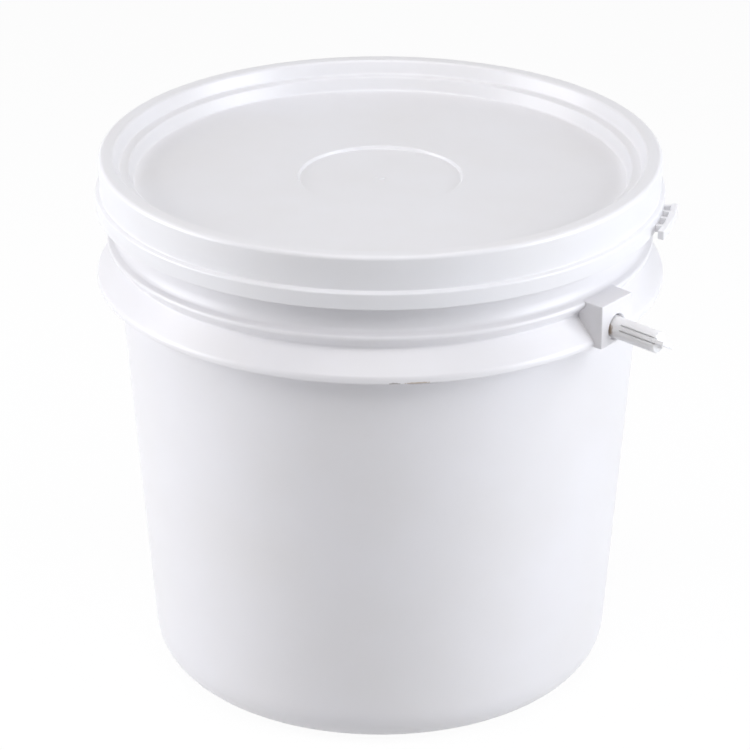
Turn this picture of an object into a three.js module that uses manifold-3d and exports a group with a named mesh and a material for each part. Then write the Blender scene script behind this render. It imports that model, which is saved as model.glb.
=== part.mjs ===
// Moulded plastic pail with a press-on lid and two snap-in handle pegs, in millimetres, +Z up.
// The middle of the foot is at z = 0 on the Z axis, and the two handle ears lie along X.
import * as THREE from "three";
import { mergeVertices } from "three/addons/utils/BufferGeometryUtils.js";
import Module from "manifold-3d";

const wasm = await Module();
wasm.setup();

// ---- clearances ----
const SEAT_GAP = 0.3; // lid over the rim's top
const SKIRT_GAP = 0.5; // lid's skirt round the rim
const WELL_GAP = 0.6; // lid's crown inside the rim
const PEG_PLAY = 1.1; // peg's shank in the ear's hole
const HEAD_ROOM = 2.0; // peg's head between the ear's sides
const PEG_HEAD_GAP = 0.75; // peg's head behind the ear's front plate
const CUT_PAST = 6.0; // how far a cut runs past the face that it opens

// ---- pail body: radii ----
const FACETS = 72;
const WALL = 2.1;
const FLOOR = 2.2;
const NECK_R = 125.6;
const WALL_TOP_IN = 0.9;
const WALL_TOP_R = NECK_R - WALL_TOP_IN;
const WALL_TAPER = 13.7;
const BASE_R = WALL_TOP_R - WALL_TAPER;
const BASE_CORNER_R = 21.3;
const FOOT_RING_W = 31.0;
const FOOT_INNER_R = BASE_R - FOOT_RING_W;
const FOOT_RECESS = 2.0;
const FOOT_CHAMFER = 2.0;
const RING_OUT = 9.5;
const RING_R = NECK_R + RING_OUT;
const RING_SKIRT_T = 2.0;
const RING_ROOT_ROUND = 0.8;
const GROOVE_IN = 0.2;
const GROOVE_R = NECK_R - GROOVE_IN;
const SHOULDER_OUT = 4.4;
const SHOULDER_R = NECK_R + SHOULDER_OUT;
const SHOULDER_EDGE = 0.8;
const FLARE_OUT = 1.0;
const RIM_OUT = 5.3;
const RIM_R = NECK_R + RIM_OUT;
const RIM_T = 2.7;
const RIM_ROUND = 1.4;
const RIM_INNER_ROUND = 0.6;

// ---- pail body: heights ----
const RING_LIP_Z = 201.6;
const RING_LIP_H = 2.9;
const RING_CONE_H = 11.1;
const GROOVE_Z = RING_LIP_Z + RING_LIP_H + RING_CONE_H;
const RING_ROOT_DROP = 4.0;
const SHOULDER_RISE = 5.8;
const SHOULDER_Z = GROOVE_Z + SHOULDER_RISE;
const FLARE_H = 6.0;
const NECK_INNER_RISE = 3.0;
const NECK_H = 24.6;
const NECK_TOP_Z = SHOULDER_Z + NECK_H;
const NECK_INNER_TOP = 1.0;
const RIM_FLARE_H = 3.5;
const RIM_BOTTOM_Z = NECK_TOP_Z + RIM_FLARE_H;
const RIM_INNER_FLARE_H = 6.0;
const RIM_H = 11.0;
const RIM_TOP_Z = RIM_BOTTOM_Z + RIM_H;

// ---- lid: radii, from the rim that it closes ----
const LID_T = 1.8;
const SKIRT_T = 1.95;
const SKIRT_DRAFT = 0.5;
const SKIRT_INNER_R = RIM_R + SKIRT_GAP;
const CROWN_R = SKIRT_INNER_R + SKIRT_T;
const CROWN_ROUND = 2.2;
const CROWN_EDGE_H = 1.0;
const CROWN_EDGE_IN = 0.3;
const CROWN_EDGE_OUT = 0.7;
const CROWN_INNER_R = RIM_R - RIM_T - WELL_GAP - LID_T;
const CROWN_SLOPE = 2.2;
const LEDGE_OUTER_R = CROWN_INNER_R - CROWN_SLOPE;
const LEDGE_ROUND = 0.6;
const LEDGE_W = 4.7;
const LEDGE_INNER_R = LEDGE_OUTER_R - LEDGE_W;
const LEDGE_EDGE = 0.7;
const LEDGE_UNDER = 0.4;
const WELL_DRAFT = 1.7;
const WELL_R = LEDGE_INNER_R - WELL_DRAFT;
const PANEL_CORNER_H = 1.0;
const PANEL_CORNER_W = 0.6;
const PANEL_R = WELL_R - PANEL_CORNER_W;
const DISC_R = 39.0;
const DISC_DEPTH = 1.5;
const DISC_SLOPE = 1.0;
const DISC_UNDER = 0.6;
const GATE_R = 2.0;
const GATE_H = 0.4;
const GATE_CHAMFER = 0.3;
const BAND_OUT = 1.65;
const BAND_R = CROWN_R + BAND_OUT;
const BAND_SLOPE = 0.9;
const BAND_DRAFT = 0.2;
const BAND_T = 1.9;
const BAND_UNDER = 1.2;

// ---- lid: heights, from the rim that it rests on ----
const LID_TOP_Z = RIM_TOP_Z + SEAT_GAP + LID_T;
const LEDGE_DROP = 6.6;
const LEDGE_Z = LID_TOP_Z - LEDGE_DROP;
const WELL_H = 6.4;
const PANEL_Z = LEDGE_Z - WELL_H;
const SKIRT_H = 16.4;
const SKIRT_BOTTOM_Z = LID_TOP_Z - SKIRT_H;
const BAND_H = 7.7;
const BAND_TOP_Z = SKIRT_BOTTOM_Z - BAND_SLOPE;
const BAND_BOTTOM_Z = BAND_TOP_Z - BAND_H;

// ---- pull tab of the lid's band ----
const TAB_FROM_DEG = 17;
const TAB_TO_DEG = 31.9;
const TAB_STANDOFF = 6.2;
const TAB_R = BAND_R + TAB_STANDOFF;
const TAB_T = 3.2;
const TAB_DROP = 4.2;
const TAB_TOP_Z = SKIRT_BOTTOM_Z - TAB_DROP;
const TAB_STEPS = 8;
const TAB_WEBS_DEG = [20.4, 24.6, 28.2, 31.2];
const TAB_WEB_W = 2.0;
const TAB_WEB_INSET = 0.5;

// ---- handle pegs ----
const PEG_R = 5.1;
const PEG_REACH = 23.8;
const PEG_DROOP_DEG = 3.3;
const PEG_ROLL_DEG = 30;
const PEG_HEAD_OUT = 1.2;
const PEG_HEAD_T = 2.6;
const PEG_BLADE_T = 2.1;
const PEG_BLADE_INSET = 0.4;
const PEG_BLADE_W = 2 * (PEG_R - PEG_BLADE_INSET);
const PEG_BLADE_EXTRA = 4.6;
const PEG_SLOT = 0.4;
const PEG_SLOT_ROOT = 4.5;
const PEG_TIP_CHAMFER = 0.8;
const PEG_FACETS = 24;

// ---- handle ears, from the pegs that they hold ----
const HOLE_R = PEG_R + PEG_PLAY;
const PEG_HEAD_R = HOLE_R + PEG_HEAD_OUT;
const EAR_STAND = 3.7;
const EAR_FACE_X = RING_R + EAR_STAND;
const EAR_PLATE_T = 3.2;
const EAR_SIDE_T = 2.4;
const EAR_ROOF_T = 2.4;
const EAR_W = 2 * (PEG_HEAD_R + HEAD_ROOM + EAR_SIDE_T);
const EAR_DROP = 0.2;
const EAR_BOTTOM_Z = RING_LIP_Z - EAR_DROP;
const EAR_OVER = 1.0;
const EAR_TOP_Z = SHOULDER_Z + EAR_OVER;
const EAR_TOP_RISE = 0.7;
const EAR_ROOT_SINK = 0.7;
const EAR_ROOT_X = WALL_TOP_R - EAR_ROOT_SINK;
const EAR_ROOT_RISE = 3.0;
const EAR_CAVITY_STEP = 2.7;
const EAR_CAVITY_X = WALL_TOP_R + EAR_CAVITY_STEP;
const HOLE_UP = 7.6;
const HOLE_Z = EAR_BOTTOM_Z + HOLE_UP;

const SKIN = { color: 0xefeef1, roughness: 0.42, metalness: 0.0 };
const LID_SKIN = { color: 0xf1f1f3, roughness: 0.4, metalness: 0.0 };
const PEG_SKIN = { color: 0xf2f2f4, roughness: 0.45, metalness: 0.0 };

/** A closed solid for joins and cuts, from any closed geometry. */
function solid(geometry) {
  const g = geometry.clone();
  g.deleteAttribute("normal");
  g.deleteAttribute("uv");
  const m = mergeVertices(g, 1e-4);
  const index = Array.from(m.index.array);
  const kept = [];
  for (let i = 0; i < index.length; i += 3) {
    const [a, b, c] = [index[i], index[i + 1], index[i + 2]];
    if (a !== b && b !== c && c !== a) kept.push(a, b, c);
  }
  const mesh = new wasm.Mesh({
    numProp: 3,
    vertProperties: Float32Array.from(m.attributes.position.array),
    triVerts: Uint32Array.from(kept),
  });
  mesh.merge();
  return new wasm.Manifold(mesh);
}

/** A drawable geometry from a closed solid. */
function drawn(body) {
  const mesh = body.getMesh();
  const points = [];
  for (let i = 0; i < mesh.numVert; i += 1) {
    const at = i * mesh.numProp;
    points.push(mesh.vertProperties[at], mesh.vertProperties[at + 1], mesh.vertProperties[at + 2]);
  }
  const g = new THREE.BufferGeometry();
  g.setAttribute("position", new THREE.Float32BufferAttribute(points, 3));
  g.setIndex(Array.from(mesh.triVerts));
  const flat = g.toNonIndexed();
  flat.computeVertexNormals();
  return flat;
}

/** A profile turned about the Z axis; the profile runs up the outside and back down the inside. */
function turned(profile, facets = FACETS) {
  const points = profile.map(([r, z]) => new THREE.Vector2(r, z));
  const g = new THREE.LatheGeometry(points, facets);
  g.rotateX(Math.PI / 2);
  return solid(g);
}

/** A flat outline drawn in X and Z, given a width along Y about the middle plane. */
function slab(outline, width) {
  const shape = new THREE.Shape(outline.map(([x, z]) => new THREE.Vector2(x, z)));
  const g = new THREE.ExtrudeGeometry(shape, { depth: width, bevelEnabled: false });
  g.translate(0, 0, -width / 2);
  g.rotateX(Math.PI / 2);
  return solid(g);
}

/** A box between two corners. */
function block(low, high) {
  const size = high.map((v, i) => v - low[i]);
  const g = new THREE.BoxGeometry(size[0], size[1], size[2]);
  g.translate((low[0] + high[0]) / 2, (low[1] + high[1]) / 2, (low[2] + high[2]) / 2);
  return solid(g);
}

/** A rod along +X from x0 to x1, with a chamfer at its outer end. */
function rod(radius, x0, x1, chamfer = 0) {
  const profile = [[0, x0], [radius, x0], [radius, x1 - chamfer]];
  if (chamfer > 0) profile.push([radius - chamfer, x1]);
  else profile.push([radius, x1]);
  profile.push([0, x1]);
  const points = profile.filter((p, i) => i === 0 || p[0] !== profile[i - 1][0] || p[1] !== profile[i - 1][1]);
  return turned(points, PEG_FACETS).rotate([0, 90, 0]);
}

/** Points of a quarter-round corner, both ends included. */
function corner(cr, cz, radius, from, to, steps) {
  const out = [];
  for (let i = 0; i <= steps; i += 1) {
    const a = THREE.MathUtils.degToRad(from + ((to - from) * i) / steps);
    out.push([cr + radius * Math.cos(a), cz + radius * Math.sin(a)]);
  }
  return out;
}

/** Outside radius of the tapered wall at a height. */
function wallR(z) {
  return BASE_R + ((WALL_TOP_R - BASE_R) * (z - BASE_CORNER_R)) / (RING_LIP_Z - BASE_CORNER_R);
}

/** The pail's turned body: foot, wall, drip ring, shoulder, neck and rim. */
function pailShell() {
  const cornerR = BASE_R - BASE_CORNER_R;
  const lipTop = RING_LIP_Z + RING_LIP_H;
  const skirtInner = RING_R - RING_SKIRT_T;
  const neckInner = NECK_R - WALL;
  const rimInner = RIM_R - RIM_T;
  const innerCorner = BASE_CORNER_R - WALL;
  const floorTop = FOOT_RECESS + FLOOR;
  const rootZ = GROOVE_Z - RING_ROOT_DROP;
  const outside = [
    [0, FOOT_RECESS],
    [FOOT_INNER_R - FOOT_CHAMFER, FOOT_RECESS],
    [FOOT_INNER_R, 0],
    ...corner(cornerR, BASE_CORNER_R, BASE_CORNER_R, -90, 0, 7),
    [wallR(RING_LIP_Z), RING_LIP_Z],
    [wallR(rootZ), rootZ],
    [skirtInner, lipTop - RING_ROOT_ROUND],
    [skirtInner, RING_LIP_Z],
    [RING_R, RING_LIP_Z],
    [RING_R, lipTop],
    [GROOVE_R, GROOVE_Z],
    [SHOULDER_R - SHOULDER_EDGE, SHOULDER_Z - SHOULDER_EDGE],
    [SHOULDER_R, SHOULDER_Z],
    [SHOULDER_R - SHOULDER_EDGE, SHOULDER_Z + SHOULDER_EDGE],
    [NECK_R + FLARE_OUT, SHOULDER_Z + FLARE_H * 0.45],
    [NECK_R, SHOULDER_Z + FLARE_H],
    [NECK_R, NECK_TOP_Z],
    [RIM_R, RIM_BOTTOM_Z],
    [RIM_R, RIM_TOP_Z - RIM_ROUND],
    [RIM_R - RIM_ROUND * 0.6, RIM_TOP_Z],
    [rimInner + RIM_INNER_ROUND * 0.7, RIM_TOP_Z],
    [rimInner, RIM_TOP_Z - RIM_INNER_ROUND],
  ];
  const inside = [
    [rimInner, NECK_TOP_Z + NECK_INNER_TOP + RIM_INNER_FLARE_H],
    [neckInner, NECK_TOP_Z + NECK_INNER_TOP],
    [neckInner, GROOVE_Z + NECK_INNER_RISE],
    ...corner(cornerR, floorTop + innerCorner, innerCorner, 0, -90, 6),
    [0, floorTop],
  ];
  return turned([...outside, ...inside]);
}

/** One handle ear on +X: a hollow box open below, hung on the shoulder and the drip ring. */
function earBox() {
  const box = slab([
    [EAR_ROOT_X, EAR_BOTTOM_Z + EAR_ROOT_RISE],
    [RING_R - RING_SKIRT_T, EAR_BOTTOM_Z],
    [EAR_FACE_X, EAR_BOTTOM_Z],
    [EAR_FACE_X, EAR_TOP_Z],
    [EAR_ROOT_X, EAR_TOP_Z + EAR_TOP_RISE],
  ], EAR_W);
  return box;
}

/** The space inside an ear, with the peg's hole through the front plate. */
function earCavity() {
  const half = EAR_W / 2 - EAR_SIDE_T;
  const top = EAR_TOP_Z - EAR_ROOF_T;
  const plateBack = EAR_FACE_X - EAR_PLATE_T;
  const cavity = block([EAR_CAVITY_X, -half, EAR_BOTTOM_Z - CUT_PAST], [plateBack, half, top]);
  const hole = rod(HOLE_R, plateBack - PEG_HEAD_GAP, EAR_FACE_X + CUT_PAST).translate([0, 0, HOLE_Z]);
  return cavity.add(hole);
}

/** The whole pail as one moulding. */
function pail() {
  let body = pailShell();
  for (const turn of [0, 180]) {
    body = body.add(earBox().rotate([0, 0, turn]));
  }
  for (const turn of [0, 180]) {
    body = body.subtract(earCavity().rotate([0, 0, turn]));
  }
  return body;
}

/** The lid's turned body: stacking crown, stepped well, flat panel, skirt and tear band. */
function lidShell() {
  const under = LID_TOP_Z - LID_T;
  const upper = [
    [0, PANEL_Z - DISC_DEPTH + GATE_H],
    [GATE_R, PANEL_Z - DISC_DEPTH + GATE_H],
    [GATE_R + GATE_CHAMFER, PANEL_Z - DISC_DEPTH],
    [DISC_R - DISC_SLOPE, PANEL_Z - DISC_DEPTH],
    [DISC_R, PANEL_Z],
    [PANEL_R, PANEL_Z],
    [WELL_R, PANEL_Z + PANEL_CORNER_H],
    [LEDGE_INNER_R - LEDGE_EDGE * 0.4, LEDGE_Z - LEDGE_EDGE],
    [LEDGE_INNER_R + LEDGE_EDGE * 0.6, LEDGE_Z],
    [LEDGE_OUTER_R - LEDGE_ROUND, LEDGE_Z],
    [LEDGE_OUTER_R, LEDGE_Z + LEDGE_ROUND],
    [CROWN_INNER_R - CROWN_EDGE_IN, LID_TOP_Z - CROWN_EDGE_H],
    [CROWN_INNER_R + CROWN_EDGE_OUT, LID_TOP_Z],
    ...corner(CROWN_R - CROWN_ROUND, LID_TOP_Z - CROWN_ROUND, CROWN_ROUND, 90, 0, 3),
    [CROWN_R - SKIRT_DRAFT, SKIRT_BOTTOM_Z],
    [BAND_R, BAND_TOP_Z],
    [BAND_R - BAND_DRAFT, BAND_BOTTOM_Z],
  ];
  const lower = [
    [BAND_R - BAND_T, BAND_BOTTOM_Z],
    [BAND_R - BAND_T, BAND_TOP_Z - BAND_UNDER],
    [SKIRT_INNER_R, SKIRT_BOTTOM_Z - BAND_DRAFT],
    [SKIRT_INNER_R, under],
    [CROWN_INNER_R + LID_T, under],
    [LEDGE_OUTER_R + LID_T, LEDGE_Z - LID_T],
    [LEDGE_INNER_R + LID_T - LEDGE_UNDER, LEDGE_Z - LID_T],
    [WELL_R + LID_T, PANEL_Z],
    [PANEL_R + LID_T * 0.6, PANEL_Z - LID_T],
    [DISC_R + DISC_UNDER, PANEL_Z - LID_T],
    [DISC_R + DISC_UNDER - DISC_SLOPE, PANEL_Z - LID_T - DISC_DEPTH],
    [0, PANEL_Z - LID_T - DISC_DEPTH],
  ];
  return turned([...upper, ...lower].reverse());
}

/** The pull tab: a curved plate standing off the band on short webs. */
function pullTab() {
  const arc = (radius, from, to, steps) => {
    const out = [];
    for (let i = 0; i <= steps; i += 1) {
      const a = THREE.MathUtils.degToRad(from + ((to - from) * i) / steps);
      out.push(new THREE.Vector2(radius * Math.cos(a), radius * Math.sin(a)));
    }
    return out;
  };
  const outline = [...arc(TAB_R, TAB_FROM_DEG, TAB_TO_DEG, TAB_STEPS), ...arc(TAB_R - TAB_T, TAB_TO_DEG, TAB_FROM_DEG, TAB_STEPS)];
  const height = TAB_TOP_Z - BAND_BOTTOM_Z;
  const g = new THREE.ExtrudeGeometry(new THREE.Shape(outline), { depth: height, bevelEnabled: false });
  g.translate(0, 0, BAND_BOTTOM_Z);
  let tab = solid(g);
  const root = BAND_R - BAND_T * 0.6;
  for (const angle of TAB_WEBS_DEG) {
    const web = block(
      [root, -TAB_WEB_W / 2, BAND_BOTTOM_Z + TAB_WEB_INSET],
      [TAB_R - TAB_T * 0.5, TAB_WEB_W / 2, TAB_TOP_Z - TAB_WEB_INSET],
    );
    tab = tab.add(web.rotate([0, 0, angle]));
  }
  return tab;
}

/** The whole lid as one moulding. */
function lid() {
  return lidShell().add(pullTab());
}

/** One handle peg on +X: a head inside the ear, a split shank and a centre blade. */
function peg() {
  const plateBack = EAR_FACE_X - EAR_PLATE_T;
  const headFront = plateBack - PEG_HEAD_GAP;
  const tip = EAR_FACE_X + PEG_REACH;
  let body = rod(PEG_HEAD_R, headFront - PEG_HEAD_T, headFront);
  body = body.add(rod(PEG_R, headFront - PEG_HEAD_T / 2, tip, PEG_TIP_CHAMFER));
  const slotLow = EAR_FACE_X + PEG_SLOT_ROOT;
  for (const side of [-1, 1]) {
    const near = (PEG_BLADE_T / 2) * side;
    const far = (PEG_BLADE_T / 2 + PEG_SLOT) * side;
    body = body.subtract(block(
      [slotLow, -PEG_R - CUT_PAST, Math.min(near, far)],
      [tip + CUT_PAST, PEG_R + CUT_PAST, Math.max(near, far)],
    ));
    body = body.subtract(block(
      [slotLow, side > 0 ? PEG_BLADE_W / 2 : -PEG_R - CUT_PAST, -(PEG_BLADE_T + PEG_SLOT) / 2],
      [tip + CUT_PAST, side > 0 ? PEG_R + CUT_PAST : -PEG_BLADE_W / 2, (PEG_BLADE_T + PEG_SLOT) / 2],
    ));
  }
  body = body.add(block(
    [slotLow - PEG_SLOT, -PEG_BLADE_W / 2, -PEG_BLADE_T / 2],
    [tip + PEG_BLADE_EXTRA, PEG_BLADE_W / 2, PEG_BLADE_T / 2],
  ));
  const pivot = EAR_FACE_X - EAR_PLATE_T / 2;
  return body
    .translate([-pivot, 0, 0])
    .rotate([-PEG_ROLL_DEG, 0, 0])
    .rotate([0, PEG_DROOP_DEG, 0])
    .translate([pivot, 0, HOLE_Z]);
}

/** A named mesh with its own material. */
function piece(name, body, skin) {
  const mesh = new THREE.Mesh(drawn(body), new THREE.MeshStandardMaterial(skin));
  mesh.name = name;
  return mesh;
}

const bucket = new THREE.Group();
bucket.name = "plastic_bucket";
bucket.add(piece("pail", pail(), SKIN));
bucket.add(piece("lid", lid(), LID_SKIN));
bucket.add(piece("peg_a", peg(), PEG_SKIN));
bucket.add(piece("peg_b", peg().rotate([0, 0, 180]), PEG_SKIN));

export default bucket;
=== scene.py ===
"""A white moulded pail with a press-on lid and two handle pegs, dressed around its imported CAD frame."""

import math

import bmesh
import bpy
from bpy.props import FloatProperty, FloatVectorProperty, IntProperty, PointerProperty
from mathutils import Matrix, Vector


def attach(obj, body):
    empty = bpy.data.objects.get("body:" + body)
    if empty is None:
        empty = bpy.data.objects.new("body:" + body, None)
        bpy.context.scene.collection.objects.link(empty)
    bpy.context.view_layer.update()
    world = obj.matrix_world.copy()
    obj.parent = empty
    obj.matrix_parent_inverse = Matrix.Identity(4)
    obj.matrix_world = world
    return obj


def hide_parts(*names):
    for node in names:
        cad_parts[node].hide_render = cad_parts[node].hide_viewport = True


bl_info = {
    "name": "Moulded pail with lid",
    "version": (1, 0, 0),
    "blender": (4, 5, 0),
    "location": "View3D > Sidebar > Pail",
    "description": "Builds the visible pieces of a moulded pail, its lid and its handle pegs",
    "category": "Add Mesh",
}

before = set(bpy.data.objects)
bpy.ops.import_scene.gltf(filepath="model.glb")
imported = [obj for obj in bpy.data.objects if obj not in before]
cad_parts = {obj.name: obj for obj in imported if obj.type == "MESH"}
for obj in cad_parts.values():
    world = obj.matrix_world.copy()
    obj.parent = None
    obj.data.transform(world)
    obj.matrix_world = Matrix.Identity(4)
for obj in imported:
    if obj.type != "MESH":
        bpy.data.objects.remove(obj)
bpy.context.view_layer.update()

MM = 0.001
SHARP_ANGLE = 0.6  # radians, over which an edge is shaded sharp
PROFILE_SPACING = 7 * MM  # longest step along a turned profile
WELD = 0.002 * MM  # vertices nearer than this are one


# ---- small helpers ----


def linear(code):
    """A colour written as sRGB hex, as linear red, green, blue and alpha."""
    parts = [int(code[i : i + 2], 16) / 255 for i in (1, 3, 5)]
    return tuple(c / 12.92 if c <= 0.04045 else ((c + 0.055) / 1.055) ** 2.4 for c in parts) + (1.0,)


def length(label, millimetres, about):
    """A size that a user may change, in metres, written here in millimetres."""
    metres = millimetres * MM
    return FloatProperty(name=label, description=about, default=metres, unit="LENGTH", precision=4, min=0.0)


def angle(label, degrees, about):
    """An angle that a user may change, written here in degrees."""
    return FloatProperty(name=label, description=about, default=math.radians(degrees), subtype="ANGLE")


def colour(label, code, about):
    """A colour that a user may change, written here as sRGB hex."""
    rgb = linear(code)[:3]
    return FloatVectorProperty(name=label, description=about, default=rgb, subtype="COLOR", size=3, min=0.0, max=1.0)


# ---- sizes and colours ----


class PailSizes(bpy.types.PropertyGroup):
    """Sizes of the pail body and its ears"""

    steps: IntProperty(name="Steps", description="Faces round the pail and the lid", default=160, min=24)
    wall: length("Wall", 2.1, "Thickness of the wall")
    floor: length("Floor", 2.2, "Thickness of the floor")
    foot_recess: length("Foot recess", 2.0, "Depth of the recess under the floor")
    foot_r: length("Foot inner radius", 80.0, "Inner radius of the ring that the pail stands on")
    base_r: length("Base radius", 111.0, "Outside radius of the wall just above its bottom corner")
    base_round: length("Base corner", 21.3, "Radius of the bottom corner")
    top_r: length("Wall top radius", 124.7, "Outside radius of the wall under the drip ring")
    ring_r: length("Ring radius", 135.1, "Outside radius of the drip ring")
    ring_z: length("Ring lip height", 201.6, "Height of the drip ring's lower edge")
    ring_lip: length("Ring lip", 2.9, "Height of the drip ring's upright lip")
    ring_wall: length("Ring wall", 2.0, "Thickness of the drip ring's skirt")
    groove_r: length("Groove radius", 125.4, "Radius at the bottom of the groove between ring and shoulder")
    groove_z: length("Groove height", 215.6, "Height of the groove between ring and shoulder")
    shoulder_r: length("Shoulder radius", 130.0, "Outside radius of the shoulder's edge")
    shoulder_z: length("Shoulder height", 221.4, "Height of the shoulder's edge")
    flare: length("Shoulder flare", 6.0, "Height over which the shoulder runs up into the neck")
    neck_r: length("Neck radius", 125.6, "Outside radius of the neck under the lid")
    neck_z: length("Neck top", 246.0, "Height where the neck widens into the rim")
    rim_r: length("Rim radius", 130.9, "Outside radius of the rim inside the lid")
    rim_wall: length("Rim wall", 2.7, "Thickness of the rim")
    rim_z: length("Rim bottom", 249.5, "Height of the rim's lower edge")
    rim_top: length("Rim top", 260.5, "Height of the rim's top")
    ear_x: length("Ear face", 138.8, "Distance of each ear's front face from the middle")
    ear_w: length("Ear width", 23.6, "Width of each ear")
    ear_low: length("Ear bottom", 201.4, "Height of each ear's lower edge")
    ear_top: length("Ear top", 222.4, "Height of each ear's front upper edge")
    ear_rise: length("Ear rise", 0.7, "Rise of the ear's roof towards the neck")
    ear_root: length("Ear root", 124.0, "Where each ear meets the wall")
    ear_plate: length("Ear plate", 3.2, "Thickness of the ear's front plate")
    ear_side: length("Ear side", 2.4, "Thickness of the ear's sides and roof")
    ear_back: length("Ear back", 127.4, "Inner end of the space inside each ear")
    hole_r: length("Hole radius", 6.2, "Radius of the hole in each ear")
    hole_z: length("Hole height", 209.0, "Height of the hole in each ear")


class LidSizes(bpy.types.PropertyGroup):
    """Sizes of the lid and its pull tab"""

    top: length("Lid top", 262.6, "Height of the lid's crown")
    wall: length("Wall", 1.8, "Thickness of the lid")
    crown_r: length("Crown radius", 133.35, "Outside radius of the crown")
    crown_round: length("Crown round", 2.2, "Radius of the crown's outer edge")
    crown_inner: length("Crown inner radius", 125.8, "Radius of the crown's inner edge")
    ledge_z: length("Ledge height", 256.0, "Height of the ledge inside the crown")
    ledge_out: length("Ledge outer radius", 123.6, "Outer radius of the ledge")
    ledge_in: length("Ledge inner radius", 118.9, "Inner radius of the ledge")
    well_r: length("Well radius", 117.2, "Radius of the well at the panel")
    panel_z: length("Panel height", 249.6, "Height of the flat panel")
    disc_r: length("Disc radius", 39.0, "Radius of the sunken disc in the middle")
    disc_deep: length("Disc depth", 1.5, "Depth of the sunken disc")
    disc_slope: length("Disc slope", 0.7, "Width of the slope round the sunken disc")
    gate_r: length("Gate radius", 2.0, "Radius of the gate mark in the middle")
    gate_h: length("Gate height", 0.4, "Height of the gate mark")
    skirt_z: length("Skirt bottom", 246.2, "Height where the skirt steps out to the tear band")
    draft: length("Skirt draft", 0.5, "How much the skirt narrows downwards")
    skirt_in: length("Skirt inner radius", 131.4, "Inner radius of the skirt")
    band_r: length("Band radius", 135.0, "Outside radius of the tear band")
    band_z: length("Band bottom", 237.6, "Height of the tear band's lower edge")
    band_slope: length("Band slope", 0.9, "Height of the slope above the tear band")
    band_wall: length("Band wall", 1.9, "Thickness of the tear band")
    tab_r: length("Tab radius", 141.2, "Outside radius of the pull tab")
    tab_wall: length("Tab wall", 3.2, "Thickness of the pull tab")
    tab_top: length("Tab top", 242.0, "Height of the pull tab's upper edge")
    tab_from: angle("Tab start", 17, "Where the pull tab starts, from the ear on +X")
    tab_to: angle("Tab end", 31.9, "Where the pull tab ends, from the ear on +X")
    web_w: length("Web width", 2.0, "Width of each web that joins the tab to the band")


class PegSizes(bpy.types.PropertyGroup):
    """Sizes of the handle pegs"""

    r: length("Radius", 5.1, "Radius of the shank")
    reach: length("Reach", 23.8, "How far the shank stands out of the ear")
    head_r: length("Head radius", 7.4, "Radius of the head inside the ear")
    head_t: length("Head thickness", 2.6, "Thickness of the head")
    head_gap: length("Head gap", 0.75, "Gap between the head and the ear's front plate")
    blade_t: length("Blade thickness", 2.1, "Thickness of the centre blade")
    blade_w: length("Blade width", 9.4, "Width of the centre blade")
    blade_extra: length("Blade overhang", 4.6, "How far the blade stands out past the legs")
    slot: length("Slot", 0.4, "Width of the slot on each side of the blade")
    slot_root: length("Slot root", 4.5, "Distance from the ear's face to where the slots start")
    slot_depth: length("Slot depth", 1.6, "Depth of each slot from the side of the shank")
    chamfer: length("Tip chamfer", 0.8, "Chamfer at the ends of the legs")
    droop: angle("Droop", 3.3, "How far each peg hangs below level in its hole")
    roll: angle("Roll", 30, "How far each peg is turned about its own length")


class PlasticColours(bpy.types.PropertyGroup):
    """Colours of the plastic, of the marks on it and of the painted shade round the first peg"""

    pail: colour("Pail", "#f0eff2", "White of the pail")
    lid: colour("Lid", "#f1f1f4", "White of the lid")
    peg: colour("Pegs", "#fafafb", "White of the handle pegs")
    shade: colour("Shade", "#e9e7e6", "Warmer white in the mottling of the plastic")
    # Dark grey of the dot on the drip ring's lip and of the faint line on the wall just under the ring
    mark_tone: colour("Soil", "#8d8580", "Grey soil rubbed into the scuffed lip")
    # Brown of the line on the drip ring's lip, also used as painted shade in the gap round the first peg and its hole
    brown_mark_and_shade: colour("Brown mark", "#a58a6c", "Brown marks on the lip and round the first peg")


# ---- mesh helpers ----


def loose(name, bm):
    """A plain object from a bmesh."""
    bmesh.ops.recalc_face_normals(bm, faces=bm.faces)
    mesh = bpy.data.meshes.new(name)
    bm.to_mesh(mesh)
    bm.free()
    made = bpy.data.objects.new(name, mesh)
    bpy.context.scene.collection.objects.link(made)
    return made


def dress(piece, body, material):
    """Gives a piece its material, its shading and its body."""
    piece.data.materials.clear()
    piece.data.materials.append(material)
    piece.data.shade_smooth()
    piece.data.set_sharp_from_angle(angle=SHARP_ANGLE)
    weighted = piece.modifiers.new("Weighted normals", "WEIGHTED_NORMAL")
    weighted.keep_sharp = True
    weighted.weight = 60
    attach(piece, body)


def turned(profile, steps):
    """A bmesh turned about Z from (radius, height, rounding) points that run from axis to axis."""
    bm = bmesh.new()
    verts = [bm.verts.new((r, 0, z)) for r, z, _ in profile]
    for a, b in zip(verts, verts[1:]):
        bm.edges.new((a, b))
    for rounding in sorted({p[2] for p in profile if p[2]}):
        corners = [v for v, p in zip(verts, profile) if p[2] == rounding]
        bmesh.ops.bevel(bm, geom=corners, offset=rounding, segments=4, profile=0.5, affect="VERTICES")
    for edge in list(bm.edges):
        cuts = int(edge.calc_length() / PROFILE_SPACING)
        if cuts:
            bmesh.ops.subdivide_edges(bm, edges=[edge], cuts=cuts)
    bmesh.ops.spin(
        bm,
        geom=list(bm.verts) + list(bm.edges),
        cent=(0, 0, 0),
        axis=(0, 0, 1),
        angle=math.tau,
        steps=steps,
        use_merge=True,
    )
    bmesh.ops.remove_doubles(bm, verts=bm.verts, dist=WELD)
    return bm


def box(low, high, bevel=0.0, segments=3):
    """A bmesh box between two corners, with its edges rounded where a bevel is given."""
    bm = bmesh.new()
    bmesh.ops.create_cube(bm, size=1.0)
    low, high = Vector(low), Vector(high)
    bmesh.ops.scale(bm, vec=high - low, verts=bm.verts)
    bmesh.ops.translate(bm, vec=(low + high) / 2, verts=bm.verts)
    if bevel:
        round_edges(bm, bm.edges, bevel, segments)
    return bm


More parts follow.
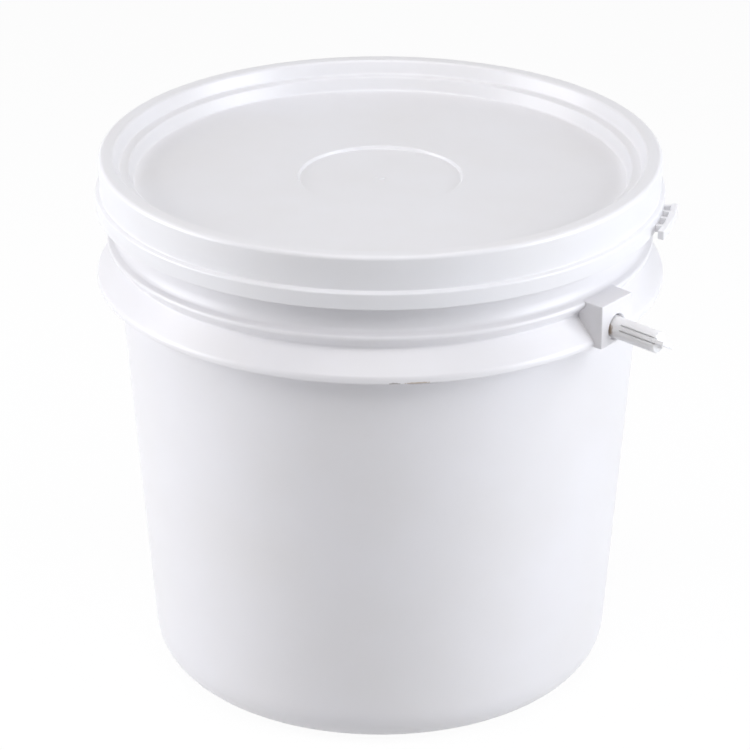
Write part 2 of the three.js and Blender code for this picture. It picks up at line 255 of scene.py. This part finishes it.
def round_edges(bm, edges, offset, segments=3):
    """Rounds some edges of a bmesh."""
    bmesh.ops.bevel(
        bm,
        geom=list(edges),
        offset=offset,
        segments=segments,
        profile=0.5,
        affect="EDGES",
        material=-1,
        clamp_overlap=True,
    )


def rod(radius, x0, x1, radius_end=None):
    """A bmesh rod along +X, or a cone where its end has another radius."""
    bm = bmesh.new()
    end = radius if radius_end is None else radius_end
    bmesh.ops.create_cone(bm, cap_ends=True, segments=64, radius1=radius, radius2=end, depth=x1 - x0)
    bmesh.ops.rotate(bm, matrix=Matrix.Rotation(math.pi / 2, 3, "Y"), verts=bm.verts)
    bmesh.ops.translate(bm, vec=((x0 + x1) / 2, 0, 0), verts=bm.verts)
    return bm


def end_rim(bm, x):
    """Edges of a rod's end at x."""
    return [e for e in bm.edges if all(abs(v.co.x - x) < WELD / 2 for v in e.verts)]


def join(target, other):
    """Adds the faces of another bmesh to a bmesh."""
    mesh = bpy.data.meshes.new("part")
    other.to_mesh(mesh)
    other.free()
    target.from_mesh(mesh)
    bpy.data.meshes.remove(mesh)


def carve(body, steps):
    """Joins and cuts solids into a body in turn, and leaves a plain mesh."""
    for operation, tool in steps:
        change = body.modifiers.new(operation.lower(), "BOOLEAN")
        change.operation = operation
        change.solver = "EXACT"
        change.object = tool
    graph = bpy.context.evaluated_depsgraph_get()
    result = bpy.data.meshes.new_from_object(body.evaluated_get(graph))
    body.modifiers.clear()
    body.data = result
    for _, tool in steps:
        bpy.data.objects.remove(tool)


# ---- materials ----


def add_node(tree, kind, inputs=None, links=None, **settings):
    """Adds a node with its settings, its input values and its links."""
    made = tree.nodes.new(kind)
    for key, value in settings.items():
        setattr(made, key, value)
    for key, value in (inputs or {}).items():
        made.inputs[key].default_value = value
    for key, source in (links or {}).items():
        tree.links.new(source, made.inputs[key])
    return made


def noise(tree, coords, scale, detail, roughness=0.5):
    """The value of a noise with so many waves to the metre."""
    inputs = {"Scale": scale, "Detail": detail, "Roughness": roughness}
    return add_node(tree, "ShaderNodeTexNoise", inputs, {"Vector": coords}).outputs["Fac"]


def remap(tree, value, low, high, to_low, to_high, **settings):
    """A value moved from one range to another."""
    inputs = {"From Min": low, "From Max": high, "To Min": to_low, "To Max": to_high}
    return add_node(tree, "ShaderNodeMapRange", inputs, {"Value": value}, **settings).outputs[0]


def mark(tree, coords, at, turn, size, grain):
    """A soft-edged mask round a place on the object, broken up by a grain: 1 in the middle of the mark."""
    inputs = {"Location": at, "Rotation": (0, 0, turn), "Scale": size}
    placed = add_node(tree, "ShaderNodeMapping", inputs, {"Vector": coords}, vector_type="TEXTURE")
    far = add_node(tree, "ShaderNodeVectorMath", links={0: placed.outputs[0]}, operation="LENGTH")
    ragged = add_node(tree, "ShaderNodeMath", links={0: grain, 1: far.outputs["Value"]}, operation="ADD")
    return remap(tree, ragged.outputs[0], 1.55, 1.05, 0.0, 1.0, interpolation_type="SMOOTHSTEP")


def on_wall(radius, turn, height, size, mark_tone, depth):
    """A mark on the turned wall: its place, turn, half-sizes in millimetres, colour and depth."""
    at = (radius * math.cos(turn), radius * math.sin(turn), height)
    return at, turn, tuple(v * MM for v in size), mark_tone, depth


def moulded_plastic(name, tone, shade, roughness, glow, marks=()):
    """Injection-moulded white polyethylene.

    The eye gets a waxy, slightly translucent satin skin with faint flow mottling and a fine mould grain.
    """
    material = bpy.data.materials.new(name)
    material.use_nodes = True
    tree = material.node_tree
    tree.nodes.clear()
    coords = add_node(tree, "ShaderNodeTexCoord").outputs["Object"]
    # Flow mottling from the melt, patches about 60 mm across
    patches = remap(tree, noise(tree, coords, 16.0, 3.0), 0.35, 0.75, 0.0, 0.45)
    tint = add_node(tree, "ShaderNodeMix", {6: (*tone, 1.0), 7: (*shade, 1.0)}, {0: patches}, data_type="RGBA")
    skin = tint.outputs[2]
    # Rubbing wear: streaks about 12 mm long and 1.3 mm apart, seen only in the gloss
    streak_space = add_node(tree, "ShaderNodeMapping", {"Scale": (1.0, 1.0, 9.0)}, {"Vector": coords})
    streaks = noise(tree, streak_space.outputs[0], 85.0, 4.0, 0.6)
    gloss = remap(tree, streaks, 0.3, 0.75, roughness - 0.015, roughness + 0.025)
    # Mould grain: spark-eroded steel leaves pits about 0.8 mm apart, drawn a little coarse so that they show
    grain = noise(tree, coords, 1250.0, 2.0, 0.55)
    # Sink and warp of the thin wall, waves about 45 mm long
    waves = noise(tree, coords, 22.0, 1.0, 0.4)
    warp = add_node(tree, "ShaderNodeBump", {"Strength": 0.1, "Distance": 0.4 * MM}, {"Height": waves})
    relief = {"Height": grain, "Normal": warp.outputs[0]}
    pits = add_node(tree, "ShaderNodeBump", {"Strength": 0.12, "Distance": 0.06 * MM}, relief)
    if marks:
        speck = noise(tree, coords, 900.0, 3.0)
        # Each mark mixes its colour into the skin; the brown round the first peg is painted shade
        for at, turn, size, mark_tone, depth in marks:
            mask = mark(tree, coords, at, turn, size, speck)
            share = add_node(tree, "ShaderNodeMath", {1: depth}, {0: mask}, operation="MULTIPLY")
            layers = {0: share.outputs[0], 6: skin}
            skin = add_node(tree, "ShaderNodeMix", {7: (*mark_tone, 1.0)}, layers, data_type="RGBA").outputs[2]
    shader = add_node(
        tree,
        "ShaderNodeBsdfPrincipled",
        {"IOR": 1.54, "Subsurface Weight": glow, "Subsurface Scale": 4 * MM, "Subsurface Radius": (1.0, 0.95, 0.9)},
        {"Base Color": skin, "Roughness": gloss, "Normal": pits.outputs[0]},
    )
    add_node(tree, "ShaderNodeOutputMaterial", links={"Surface": shader.outputs[0]})
    return material


# ---- pieces ----

CORNER_STEPS = 14  # facets of the pail's rounded bottom corner
EDGE_ROUND = 0.6 * MM  # rounding of the ears' and the pull tab's edges
MARK_TURNS = [math.radians(v) for v in (-48.5, -44.1, -41.6)]  # where the marks on the drip ring sit
TAB_WEB_TURNS = [math.radians(v) for v in (20.4, 24.6, 28.2, 31.2)]  # where webs join the tab to the band


def pail_profile(s):
    """Half section of the pail: from the middle of the foot up the outside, over the rim and down the inside."""
    corner_r = s.base_r - s.base_round
    slope = (s.top_r - s.base_r) / (s.ring_z - s.base_round)
    hang = s.groove_z - 4 * MM
    under_r = s.top_r + slope * (hang - s.ring_z)
    skirt_in = s.ring_r - s.ring_wall
    lip_top = s.ring_z + s.ring_lip
    neck_in = s.neck_r - s.wall
    rim_in = s.rim_r - s.rim_wall
    edge = 0.8 * MM
    inner = s.base_round - s.wall

    def corner_arc(radius, centre_z):
        turns = [math.radians(90 * i / CORNER_STEPS - 90) for i in range(CORNER_STEPS + 1)]
        return [(corner_r + radius * math.cos(a), centre_z + radius * math.sin(a), 0) for a in turns]

    outside = [
        (0, s.foot_recess, 0),
        (s.foot_r - 2 * MM, s.foot_recess, 0.8 * MM),
        (s.foot_r, 0, 0.6 * MM),
        *corner_arc(s.base_round, s.base_round),
        (s.top_r, s.ring_z, 0),
        (under_r, hang, 0.8 * MM),
        (skirt_in, lip_top - edge, 0.8 * MM),
        (skirt_in, s.ring_z, 0.5 * MM),
        (s.ring_r, s.ring_z, 0.6 * MM),
        (s.ring_r, lip_top, 1.2 * MM),
        (s.groove_r, s.groove_z, 1.0 * MM),
        (s.shoulder_r - 0.1 * MM, s.shoulder_z - edge, 0.7 * MM),
        (s.shoulder_r - 0.1 * MM, s.shoulder_z + edge, 0.9 * MM),
        (s.neck_r + 1.0 * MM, s.shoulder_z + s.flare * 0.45, 1.2 * MM),
        (s.neck_r, s.shoulder_z + s.flare, 1.2 * MM),
        (s.neck_r, s.neck_z, 1.2 * MM),
        (s.rim_r, s.rim_z, 0.8 * MM),
        (s.rim_r, s.rim_top, 1.2 * MM),
        (rim_in, s.rim_top, 0.8 * MM),
    ]
    inside = [
        (rim_in, s.neck_z + 7 * MM, 1.2 * MM),
        (neck_in, s.neck_z + 1 * MM, 1.2 * MM),
        (neck_in, s.groove_z + 3 * MM, 1.2 * MM),
        *reversed(corner_arc(inner, s.foot_recess + s.floor + inner)),
        (0, s.foot_recess + s.floor, 0),
    ]
    return outside + inside


class PAIL_OT_body(bpy.types.Operator):
    """Makes the pail: foot, tapered wall, drip ring, shoulder, neck, rim and the two ears"""

    bl_idname = "pail.body"
    bl_label = "Pail body"

    def execute(self, context):
        s = context.scene.pail_sizes
        c = context.scene.plastic_colours
        shell = loose("pail_body", turned(pail_profile(s), s.steps))
        half = s.ear_w / 2
        steps = []
        for turn in (0, math.pi):
            spin = Matrix.Rotation(turn, 4, "Z")
            ear = box((s.ear_root, -half, s.ear_low), (s.ear_x, half, s.ear_top))
            for v in ear.verts:
                if v.co.x < s.ear_root + MM and v.co.z > s.ear_low + MM:
                    v.co.z += s.ear_rise
            round_edges(ear, ear.edges, EDGE_ROUND)
            inner = half - s.ear_side
            space_top = (s.ear_x - s.ear_plate, inner, s.ear_top - s.ear_side)
            space = box((s.ear_back, -inner, s.ear_low - 6 * MM), space_top, 0.7 * MM, 2)
            hole = rod(s.hole_r, s.ear_back + 2 * MM, s.ear_x + 5 * MM)
            sink = rod(s.hole_r, s.ear_x - 0.45 * MM, s.ear_x + 0.45 * MM, radius_end=s.hole_r + 0.9 * MM)
            for cut in (hole, sink):
                bmesh.ops.translate(cut, vec=(0, 0, s.hole_z), verts=cut.verts)
            for bm in (ear, space, hole, sink):
                bm.transform(spin)
            steps.append(("UNION", loose("ear", ear)))
            steps += [("DIFFERENCE", loose("cut", bm)) for bm in (space, hole, sink)]
        carve(shell, steps)
        # A dark grey dot and a brown line on the ring's lip, a faint dark grey line on the wall under it, and painted
        # brown shade in the first ear's hole where it shows round the peg
        dot, line, faint = MARK_TURNS
        in_hole = (s.ear_x - 2.0 * MM, -0.9 * s.hole_r, s.hole_z)
        marks = (
            on_wall(s.ring_r, dot, s.ring_z + 0.2 * MM, (2.0, 3.2, 0.9), c.mark_tone, 0.75),
            on_wall(s.ring_r, line, s.ring_z + 0.5 * MM, (2.0, 6.6, 0.5), c.brown_mark_and_shade, 0.7),
            on_wall(s.top_r - 0.3 * MM, faint, s.ring_z - 4.6 * MM, (2.0, 10.5, 0.6), c.mark_tone, 0.4),
            # Painted brown shade on the hole's wall, where it shows in the gap round the first peg
            (in_hole, 0, (1.5 * MM, 2.6 * MM, 5.0 * MM), c.brown_mark_and_shade, 0.7),
        )
        skin = moulded_plastic("moulded_polyethylene_pail", c.pail, c.shade, 0.34, 0.12, marks)
        dress(shell, "pail", skin)
        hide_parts("pail")
        return {"FINISHED"}


def lid_profile(s):
    """Half section of the lid: from the middle of the panel over the crown, down the skirt and back underneath."""
    band_top = s.skirt_z - s.band_slope
    under = s.top - s.wall
    upper = [
        (0, s.panel_z - s.disc_deep + s.gate_h, 0),
        (s.gate_r, s.panel_z - s.disc_deep + s.gate_h, 0.15 * MM),
        (s.gate_r + 0.3 * MM, s.panel_z - s.disc_deep, 0.1 * MM),
        (s.disc_r - s.disc_slope, s.panel_z - s.disc_deep, 0.35 * MM),
        (s.disc_r, s.panel_z, 0.35 * MM),
        (s.well_r - 0.2 * MM, s.panel_z, 0.9 * MM),
        (s.ledge_in - 0.1 * MM, s.ledge_z, 0.7 * MM),
        (s.ledge_out, s.ledge_z, 0.7 * MM),
        (s.crown_inner, s.top, 1.2 * MM),
        (s.crown_r, s.top, s.crown_round),
        (s.crown_r - s.draft, s.skirt_z, 0.35 * MM),
        (s.band_r, band_top, 0.7 * MM),
        (s.band_r - 0.2 * MM, s.band_z, 0.5 * MM),
    ]
    lower = [
        (s.band_r - s.band_wall, s.band_z, 0.5 * MM),
        (s.band_r - s.band_wall, band_top - 1.2 * MM, 0.5 * MM),
        (s.skirt_in, s.skirt_z - 0.2 * MM, 0.4 * MM),
        (s.skirt_in, under, 0.6 * MM),
        (s.crown_inner + s.wall, under, 0.6 * MM),
        (s.ledge_out + s.wall, s.ledge_z - s.wall, 0.6 * MM),
        (s.ledge_in + s.wall - 0.4 * MM, s.ledge_z - s.wall, 0.6 * MM),
        (s.well_r + s.wall - 0.3 * MM, s.panel_z - s.wall, 1.6 * MM),
        (s.disc_r + 0.6 * MM, s.panel_z - s.wall, 0.35 * MM),
        (s.disc_r + 0.6 * MM - s.disc_slope, s.panel_z - s.wall - s.disc_deep, 0.35 * MM),
        (0, s.panel_z - s.wall - s.disc_deep, 0),
    ]
    return upper + lower


class PAIL_OT_lid(bpy.types.Operator):
    """Makes the lid: stacking crown, stepped well, flat panel with its sunken disc, skirt and tear band"""

    bl_idname = "pail.lid"
    bl_label = "Lid"

    def execute(self, context):
        s = context.scene.lid_sizes
        c = context.scene.plastic_colours
        skin = moulded_plastic("moulded_polyethylene_lid", c.lid, c.shade, 0.3, 0.12)
        bm = turned(lid_profile(s), context.scene.pail_sizes.steps)
        lid = loose("lid_shell", bm)
        dress(lid, "lid", skin)
        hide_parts("lid")
        return {"FINISHED"}


class PAIL_OT_pull_tab(bpy.types.Operator):
    """Makes the pull tab that stands off the lid's tear band on short webs"""

    bl_idname = "pail.pull_tab"
    bl_label = "Pull tab"

    def execute(self, context):
        s = context.scene.lid_sizes
        bm = bmesh.new()
        inner = s.tab_r - s.tab_wall
        corners = [(inner, s.band_z), (s.tab_r, s.band_z), (s.tab_r, s.tab_top), (inner, s.tab_top)]
        face = bm.faces.new([bm.verts.new((r, 0, z)) for r, z in corners])
        bmesh.ops.rotate(bm, matrix=Matrix.Rotation(s.tab_from, 3, "Z"), verts=bm.verts)
        bmesh.ops.spin(
            bm,
            geom=[face, *face.edges, *face.verts],
            cent=(0, 0, 0),
            axis=(0, 0, 1),
            angle=s.tab_to - s.tab_from,
            steps=14,
        )
        bmesh.ops.recalc_face_normals(bm, faces=bm.faces)
        sharp = [e for e in bm.edges if len(e.link_faces) == 2 and e.calc_face_angle() > 0.8]
        round_edges(bm, sharp, EDGE_ROUND)
        web_low = (s.band_r - s.band_wall * 0.6, -s.web_w / 2, s.band_z + 0.5 * MM)
        web_high = (s.tab_r - s.tab_wall / 2, s.web_w / 2, s.tab_top - 0.5 * MM)
        for turn in TAB_WEB_TURNS:
            web = box(web_low, web_high, 0.3 * MM, 2)
            web.transform(Matrix.Rotation(turn, 4, "Z"))
            join(bm, web)
        dress(loose("pull_tab", bm), "lid", bpy.data.materials["moulded_polyethylene_lid"])
        return {"FINISHED"}


class PAIL_OT_pegs(bpy.types.Operator):
    """Makes the two handle pegs: a head inside the ear, a split shank and a centre blade"""

    bl_idname = "pail.pegs"
    bl_label = "Handle pegs"

    def execute(self, context):
        s = context.scene.peg_sizes
        ears = context.scene.pail_sizes
        c = context.scene.plastic_colours
        # Painted brown shade on the first peg's shank where it stands in the hole and shows through the gap round it
        in_hole = (ears.ear_x - ears.ear_plate / 2, -s.r, ears.hole_z)
        painted_gap_shade = (in_hole, 0, (3.0 * MM, 1.8 * MM, 4.5 * MM), c.brown_mark_and_shade, 0.75)
        skin = moulded_plastic("moulded_polyethylene_peg", c.peg, c.shade, 0.38, 0.15, (painted_gap_shade,))
        head_front = ears.ear_x - ears.ear_plate - s.head_gap
        tip = ears.ear_x + s.reach
        low = ears.ear_x + s.slot_root
        pivot = Vector((ears.ear_x - ears.ear_plate / 2, 0, 0))
        place = (
            Matrix.Translation(pivot + Vector((0, 0, ears.hole_z)))
            @ Matrix.Rotation(s.droop, 4, "Y")
            @ Matrix.Rotation(-s.roll, 4, "X")
            @ Matrix.Translation(-pivot)
        )
        for name, body, turn in (("handle_peg_a", "peg_a", 0), ("handle_peg_b", "peg_b", math.pi)):
            shank = rod(s.r, head_front - s.head_t / 2, tip)
            round_edges(shank, end_rim(shank, tip), s.chamfer)
            head = rod(s.head_r, head_front - s.head_t, head_front)
            round_edges(head, end_rim(head, head_front) + end_rim(head, head_front - s.head_t), 0.5 * MM)
            steps = [("UNION", loose("head", head))]
            near, far = s.blade_t / 2, s.blade_t / 2 + s.slot
            for low_z, high_z in ((near, far), (-far, -near)):
                for edge in (-1, 1):
                    across = sorted((edge * (s.r + MM), edge * (s.r - s.slot_depth)))
                    slot = box((low, across[0], low_z), (tip + MM, across[1], high_z))
                    steps.append(("DIFFERENCE", loose("slot", slot)))
            half, thick = s.blade_w / 2, near - 0.05 * MM
            blade = box((tip - MM, -half, -thick), (tip + s.blade_extra, half, thick), 0.4 * MM)
            steps.append(("UNION", loose("blade", blade)))
            piece = loose(name, shank)
            carve(piece, steps)
            piece.data.transform(Matrix.Rotation(turn, 4, "Z") @ place)
            dress(piece, body, skin)
            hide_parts(body)
        return {"FINISHED"}


# ---- stage ----

VIEW_TURN = math.radians(38.7)  # turn of the photograph's view about Z
CAMERA_AT = (1.0497, -1.3077, 0.9010)
CAMERA_TURN = (65.75, 0.0, 38.84)
LENS = 181.97
SENSOR_WIDTH = 36.0
LAMP_AIM = (0, 0, 0.14)
# Name, degrees to the right of the camera, distance, height, size, power and colour
LAMPS = (
    ("left_box", -83, 1.3, 0.45, (0.95, 1.1), 15.3, "#fafbff"),
    ("right_box", 71, 1.3, 0.45, (0.8, 1.1), 15.2, "#f6f9ff"),
    ("top_box", 180, 0.1, 1.6, (1.2, 1.2), 7.2, "#fefcff"),
    ("front_box", 0, 1.0, 1.5, (1.2, 0.8), 7.9, "#fffdfc"),
)
AMBIENT = 0.03  # strength of the even light from all round
AMBIENT_TONE = "#fffaf7"
FLOOR_RADIUS = 6.0
FLOOR_DROP = 0.2 * MM  # the floor lies just under the foot
FLOOR_WHITE = 0.9  # share of the floor that is plain white to the camera; the rest takes the shadow


def photo_camera():
    """The camera that took the photograph, fitted to the pail's outline."""
    data = bpy.data.cameras.new("camera")
    data.lens = LENS
    data.sensor_width = SENSOR_WIDTH
    data.clip_start, data.clip_end = 0.05, 40.0
    camera = bpy.data.objects.new("camera", data)
    bpy.context.scene.collection.objects.link(camera)
    camera.location = CAMERA_AT
    camera.rotation_euler = [math.radians(v) for v in CAMERA_TURN]
    return camera


def soft_lamp(name, turn, away, height, size, power, tone):
    """A rectangular softbox that faces the pail, turned so many degrees to the right of the camera."""
    data = bpy.data.lights.new(name, "AREA")
    data.shape = "RECTANGLE"
    data.size, data.size_y = size
    data.energy = power
    data.color = linear(tone)[:3]
    lamp = bpy.data.objects.new(name, data)
    bpy.context.scene.collection.objects.link(lamp)
    turn = VIEW_TURN + math.radians(turn)
    lamp.location = (away * math.sin(turn), -away * math.cos(turn), height)
    lamp.rotation_mode = "QUATERNION"
    lamp.rotation_quaternion = (Vector(LAMP_AIM) - lamp.location).to_track_quat("-Z", "Y")


def background_rays(tree):
    """1 for the rays that show the background: straight to the camera, mirrored, or through a clear piece."""
    path = add_node(tree, "ShaderNodeLightPath").outputs
    total = path["Is Camera Ray"]
    for name in ("Is Glossy Ray", "Is Transmission Ray"):
        links = {0: total, 1: path[name]}
        total = add_node(tree, "ShaderNodeMath", links=links, operation="MAXIMUM").outputs[0]
    return total


def white_world():
    """Faint even light from all round, and plain white where the camera or a reflection looks past the floor."""
    world = bpy.data.worlds.new("studio")
    bpy.context.scene.world = world
    world.use_nodes = True
    tree = world.node_tree
    tree.nodes.clear()
    seen = background_rays(tree)
    level = remap(tree, seen, 0.0, 1.0, AMBIENT, 1.0)
    hue = add_node(tree, "ShaderNodeMix", {6: linear(AMBIENT_TONE), 7: (1, 1, 1, 1)}, {0: seen}, data_type="RGBA")
    light = add_node(tree, "ShaderNodeBackground", links={"Color": hue.outputs[2], "Strength": level})
    add_node(tree, "ShaderNodeOutputWorld", links={"Surface": light.outputs[0]})


def pale_floor():
    """A pale floor that looks white in the open and keeps a soft shadow near the pail."""
    bm = bmesh.new()
    bmesh.ops.create_circle(bm, cap_ends=True, radius=FLOOR_RADIUS, segments=96)
    bmesh.ops.translate(bm, vec=(0, 0, -FLOOR_DROP), verts=bm.verts)
    mesh = bpy.data.meshes.new("floor")
    bm.to_mesh(mesh)
    bm.free()
    floor = bpy.data.objects.new("floor", mesh)
    bpy.context.scene.collection.objects.link(floor)
    paint = bpy.data.materials.new("matt_white_floor")
    paint.use_nodes = True
    tree = paint.node_tree
    tree.nodes.clear()
    matt = add_node(tree, "ShaderNodeBsdfDiffuse", {"Color": linear("#d6d6d6")})
    glow = add_node(tree, "ShaderNodeEmission", {"Color": (1, 1, 1, 1), "Strength": 1.05})
    seen = add_node(tree, "ShaderNodeMath", {1: FLOOR_WHITE}, {0: background_rays(tree)}, operation="MULTIPLY")
    both = add_node(tree, "ShaderNodeMixShader", links={0: seen.outputs[0], 1: matt.outputs[0], 2: glow.outputs[0]})
    add_node(tree, "ShaderNodeOutputMaterial", links={"Surface": both.outputs[0]})
    mesh.materials.append(paint)


class PAIL_OT_stage(bpy.types.Operator):
    """Makes the floor, the soft light and the camera at the photograph's angle"""

    bl_idname = "pail.stage"
    bl_label = "Stage"

    def execute(self, context):
        scene = context.scene
        scene.camera = photo_camera()
        scene.view_settings.view_transform = "Standard"
        white_world()
        pale_floor()
        for lamp in LAMPS:
            soft_lamp(*lamp)
        return {"FINISHED"}


class PAIL_PT_panel(bpy.types.Panel):
    """Lists the pieces and the stage"""

    bl_label = "Moulded pail"
    bl_idname = "PAIL_PT_panel"
    bl_space_type = "VIEW_3D"
    bl_region_type = "UI"
    bl_category = "Pail"

    def draw(self, context):
        for operator in OPERATORS:
            self.layout.operator(operator.bl_idname)


OPERATORS = (PAIL_OT_body, PAIL_OT_lid, PAIL_OT_pull_tab, PAIL_OT_pegs, PAIL_OT_stage)
SETTINGS = {
    "pail_sizes": PailSizes,
    "lid_sizes": LidSizes,
    "peg_sizes": PegSizes,
    "plastic_colours": PlasticColours,
}
CLASSES = (*SETTINGS.values(), *OPERATORS, PAIL_PT_panel)


def register():
    """Registers the classes and hangs the settings on the scene."""
    for cls in CLASSES:
        bpy.utils.register_class(cls)
    for name, group in SETTINGS.items():
        setattr(bpy.types.Scene, name, PointerProperty(type=group))


def unregister():
    """Takes the settings off the scene and removes the classes."""
    for name in SETTINGS:
        delattr(bpy.types.Scene, name)
    for cls in reversed(CLASSES):
        bpy.utils.unregister_class(cls)


def main():
    register()
    bpy.ops.pail.stage()
    bpy.ops.pail.body()
    bpy.ops.pail.lid()
    bpy.ops.pail.pull_tab()
    bpy.ops.pail.pegs()


if __name__ == "__main__":
    main()
